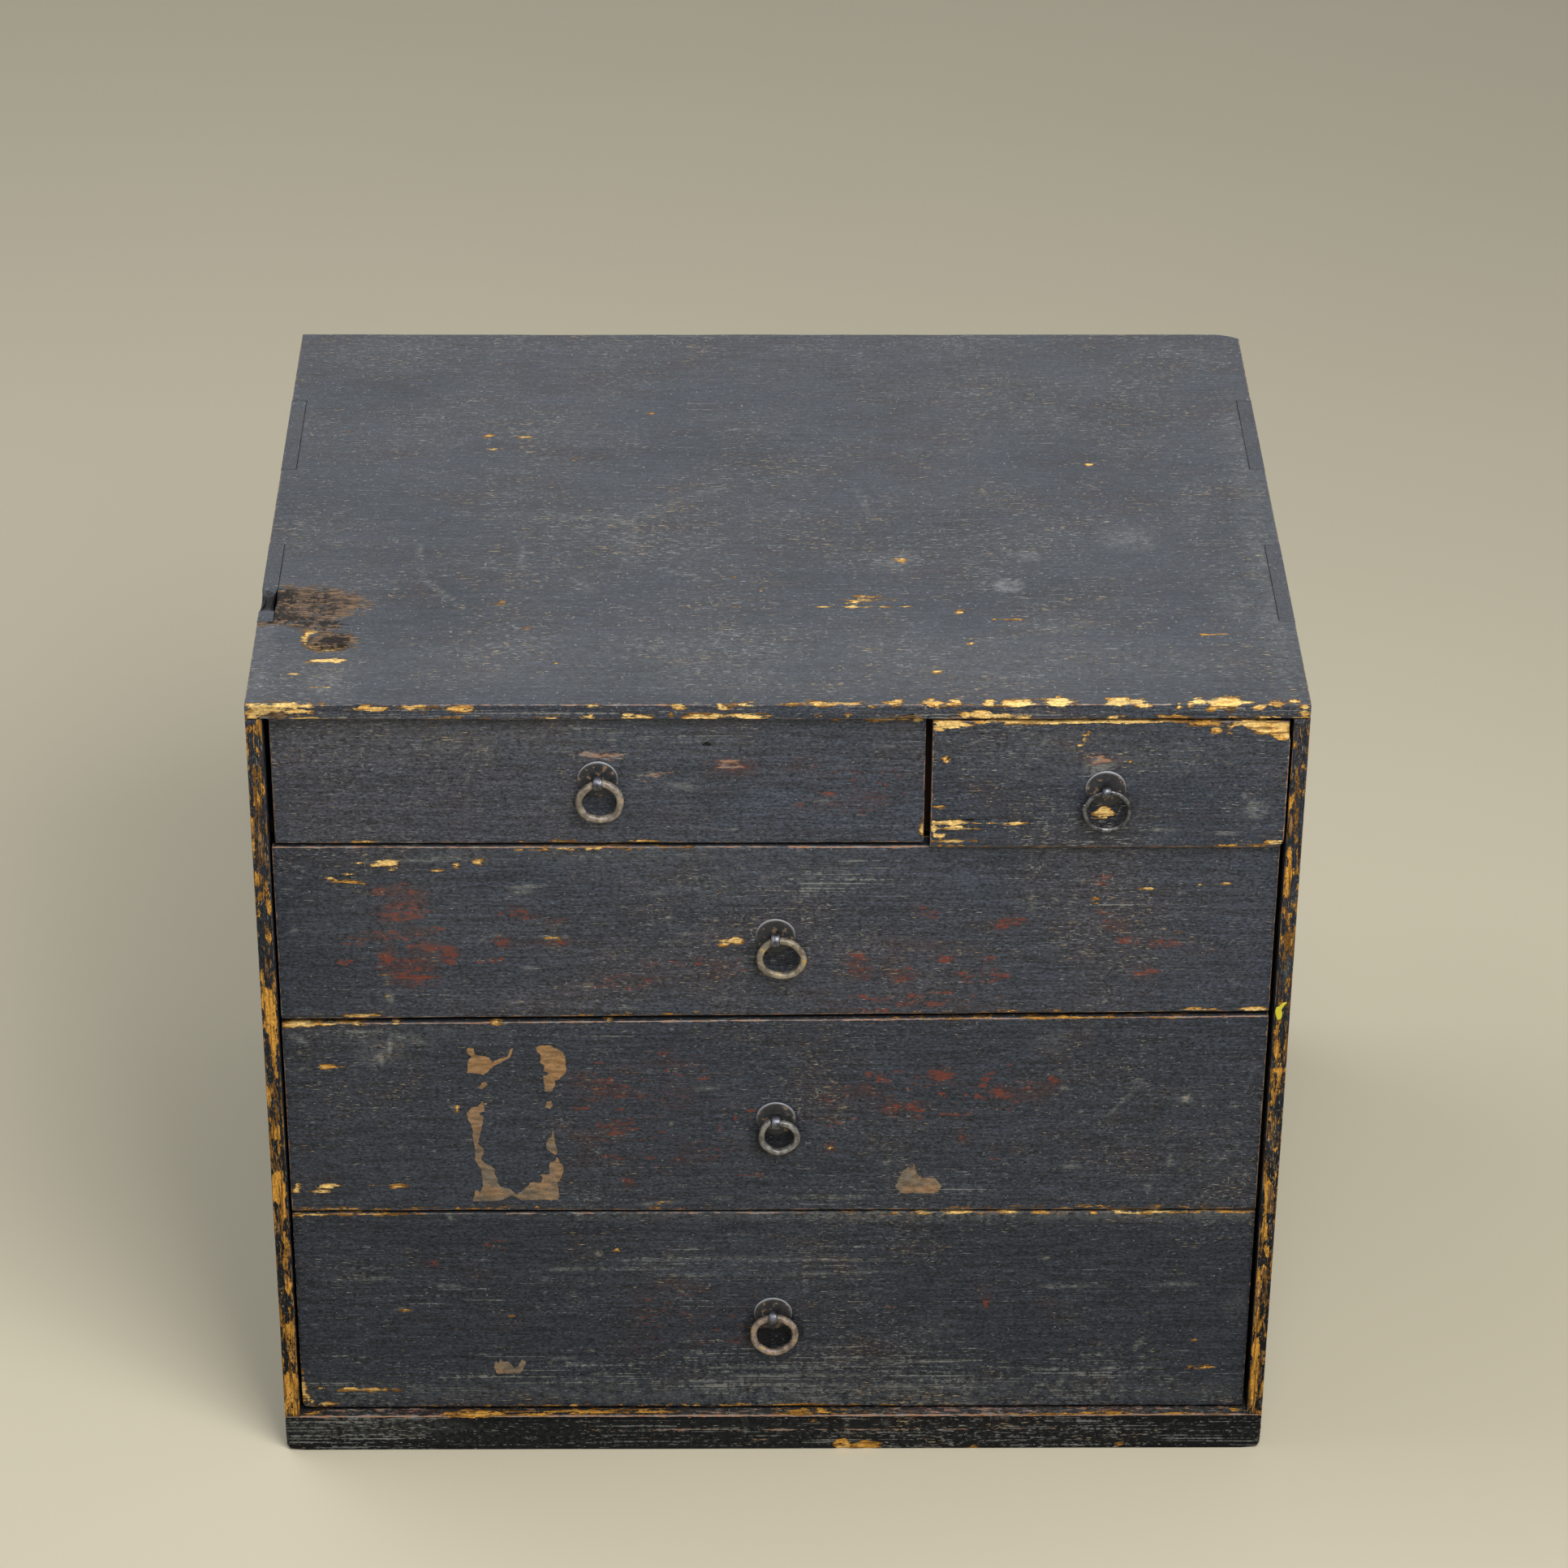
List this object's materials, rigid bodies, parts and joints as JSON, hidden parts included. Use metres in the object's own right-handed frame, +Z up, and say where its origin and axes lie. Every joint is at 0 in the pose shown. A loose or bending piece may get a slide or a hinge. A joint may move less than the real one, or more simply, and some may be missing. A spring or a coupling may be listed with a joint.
{
  "type": "small tansu chest",
  "caption": "Small wooden chest of drawers, a wide and a narrow drawer side by side over full-width ones, with iron ring pulls.",
  "frame": {"origin": "centre of the footprint, on the floor under the base board", "axes": "+Z up, the drawers open towards -Y, +X to the right seen from the front"},
  "size_m": [0.48, 0.381, 0.426],
  "materials": {
    "painted_wood": "worn matt black paint over old wood",
    "bare_wood": "bare softwood, aged and dusty",
    "peg_wood": "split hardwood, bare",
    "pull_iron": "forged, dark and rubbed",
    "ring_iron": "forged, dull tan patina"
  },
  "bodies": {
    "case": {"top_board": "painted_wood", "base_board": "painted_wood", "left_side": "painted_wood", "right_side": "painted_wood", "upper_shelf": "bare_wood", "middle_shelf": "bare_wood", "lower_shelf": "bare_wood", "top_divider": "bare_wood", "upper_back": "bare_wood", "middle_back": "bare_wood", "lower_back": "bare_wood", "case_pegs": "peg_wood", "back_pegs": "peg_wood"},
    "top_left_drawer": {"top_left_front": "painted_wood", "top_left_left": "bare_wood", "top_left_right": "bare_wood", "top_left_back": "bare_wood", "top_left_bottom": "bare_wood", "top_left_pegs": "peg_wood", "top_left_plate": "pull_iron", "top_left_eye": "pull_iron"},
    "top_left_ring": {"top_left_ring": "ring_iron"},
    "top_right_drawer": {"top_right_front": "painted_wood", "top_right_left": "bare_wood", "top_right_right": "bare_wood", "top_right_back": "bare_wood", "top_right_bottom": "bare_wood", "top_right_pegs": "peg_wood", "top_right_plate": "pull_iron", "top_right_eye": "pull_iron"},
    "top_right_ring": {"top_right_ring": "ring_iron"},
    "second_drawer": {"second_front": "painted_wood", "second_left": "bare_wood", "second_right": "bare_wood", "second_back": "bare_wood", "second_bottom": "bare_wood", "second_pegs": "peg_wood", "second_plate": "pull_iron", "second_eye": "pull_iron"},
    "second_ring": {"second_ring": "ring_iron"},
    "third_drawer": {"third_front": "painted_wood", "third_left": "bare_wood", "third_right": "bare_wood", "third_back": "bare_wood", "third_bottom": "bare_wood", "third_pegs": "peg_wood", "third_plate": "pull_iron", "third_eye": "pull_iron"},
    "third_ring": {"third_ring": "ring_iron"},
    "bottom_drawer": {"bottom_front": "painted_wood", "bottom_left": "bare_wood", "bottom_right": "bare_wood", "bottom_back": "bare_wood", "bottom_bottom": "bare_wood", "bottom_pegs": "peg_wood", "bottom_plate": "pull_iron", "bottom_eye": "pull_iron"},
    "bottom_ring": {"bottom_ring": "ring_iron"}
  },
  "joints": [
    {"name": "top_left_slide", "type": "slide", "parent": "case", "child": "top_left_drawer", "axis": [0, -1, 0], "range_m": [0, 0.28]},
    {"name": "top_left_swing", "type": "hinge", "parent": "top_left_drawer", "child": "top_left_ring", "pos_m": [-0.08185, -0.187, 0.3839], "axis": [-1, 0, 0], "range_deg": [-5, 180]},
    {"name": "top_right_slide", "type": "slide", "parent": "case", "child": "top_right_drawer", "axis": [0, -1, 0], "range_m": [-0.004, 0.28]},
    {"name": "top_right_swing", "type": "hinge", "parent": "top_right_drawer", "child": "top_right_ring", "pos_m": [0.149, -0.1904, 0.381], "axis": [-1, 0, 0], "range_deg": [-5, 180]},
    {"name": "second_slide", "type": "slide", "parent": "case", "child": "second_drawer", "axis": [0, -1, 0], "range_m": [0, 0.28]},
    {"name": "second_swing", "type": "hinge", "parent": "second_drawer", "child": "second_ring", "pos_m": [-0.0007, -0.18695, 0.2989], "axis": [-1, 0, 0], "range_deg": [-5, 180]},
    {"name": "third_slide", "type": "slide", "parent": "case", "child": "third_drawer", "axis": [0, -1, 0], "range_m": [0, 0.28]},
    {"name": "third_swing", "type": "hinge", "parent": "third_drawer", "child": "third_ring", "pos_m": [0, -0.18695, 0.1957], "axis": [-1, 0, 0], "range_deg": [-5, 180]},
    {"name": "bottom_slide", "type": "slide", "parent": "case", "child": "bottom_drawer", "axis": [0, -1, 0], "range_m": [0, 0.28]},
    {"name": "bottom_swing", "type": "hinge", "parent": "bottom_drawer", "child": "bottom_ring", "pos_m": [-0.0008, -0.18695, 0.08025], "axis": [-1, 0, 0], "range_deg": [-5, 180]}
  ]
}
